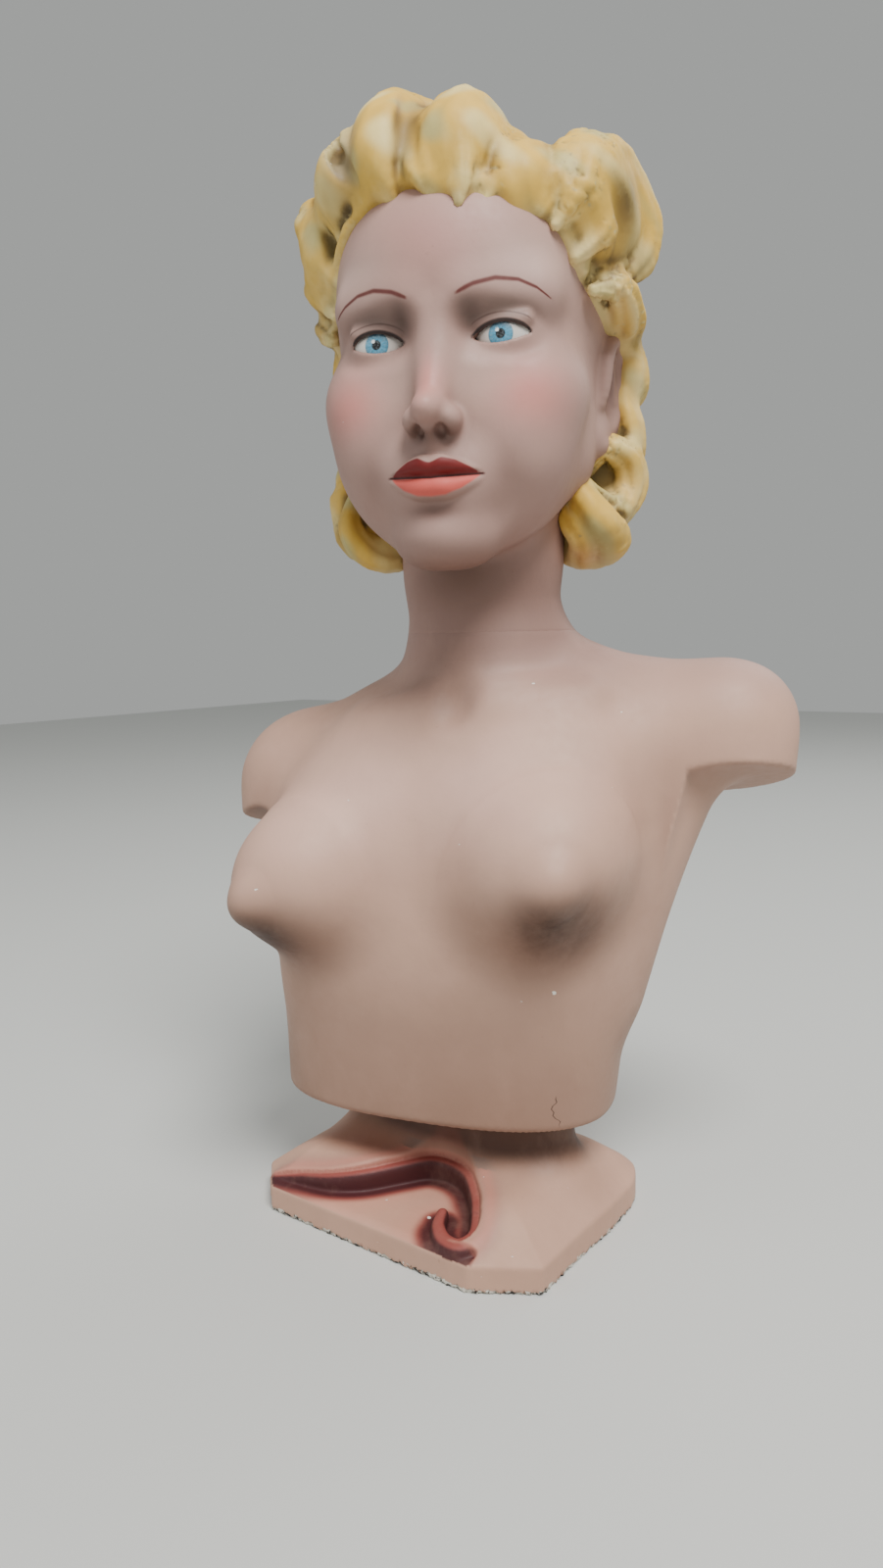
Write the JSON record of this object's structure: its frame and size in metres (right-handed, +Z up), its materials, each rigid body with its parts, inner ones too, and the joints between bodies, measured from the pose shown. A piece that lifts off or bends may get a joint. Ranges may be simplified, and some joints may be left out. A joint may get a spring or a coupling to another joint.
{
  "type": "dress form mannequin",
  "caption": "Painted plaster display bust with a dressed head, sloping cut-off arms and a cut-corner plinth, for showing clothes or jewellery on a counter.",
  "frame": {"origin": "middle of the plinth's underside", "axes": "+Z up, -Y towards the plinth's front, +X towards the figure's left"},
  "size_m": [0.3251, 0.2403, 0.6108],
  "materials": {
    "body_paint": "matt oil paint over plaster, airbrushed shading",
    "plinth_paint": "matt oil paint over plaster, chipped lower edge",
    "scroll_paint": "matt dark red paint",
    "face_paint": "matt painted plaster with hand-painted features",
    "hair_paint": "matt painted plaster, airbrushed recesses",
    "bare_plaster": "raw casting plaster",
    "timber": "sawn softwood",
    "steel": "plain steel"
  },
  "bodies": {
    "root": {"plinth_shell": "plinth_paint", "base_board": "timber", "base_screws": "steel", "scroll_relief": "scroll_paint", "waist_column": "plinth_paint", "torso_front_shell": "body_paint", "torso_back_shell": "body_paint", "torso_floor": "bare_plaster", "left_arm_cap": "body_paint", "right_arm_cap": "body_paint", "neck_tube": "body_paint", "face_shell": "face_paint", "head_back_shell": "face_paint", "hair_cap": "hair_paint", "pompadour_right_lobe": "hair_paint", "pompadour_left_lobe": "hair_paint", "left_victory_roll": "hair_paint", "right_temple_roll": "hair_paint", "right_front_curl": "hair_paint", "left_side_waves": "hair_paint", "right_side_waves": "hair_paint", "left_nape_curls": "hair_paint", "right_nape_curls": "hair_paint", "back_roll": "hair_paint", "armature_rod": "steel", "rod_washers": "steel", "rod_nuts": "steel", "shoulder_bar": "steel", "bar_clamp": "timber", "left_shoulder_wad": "bare_plaster", "right_shoulder_wad": "bare_plaster", "neck_plug": "timber", "head_plug": "timber"}
  },
  "joints": []
}
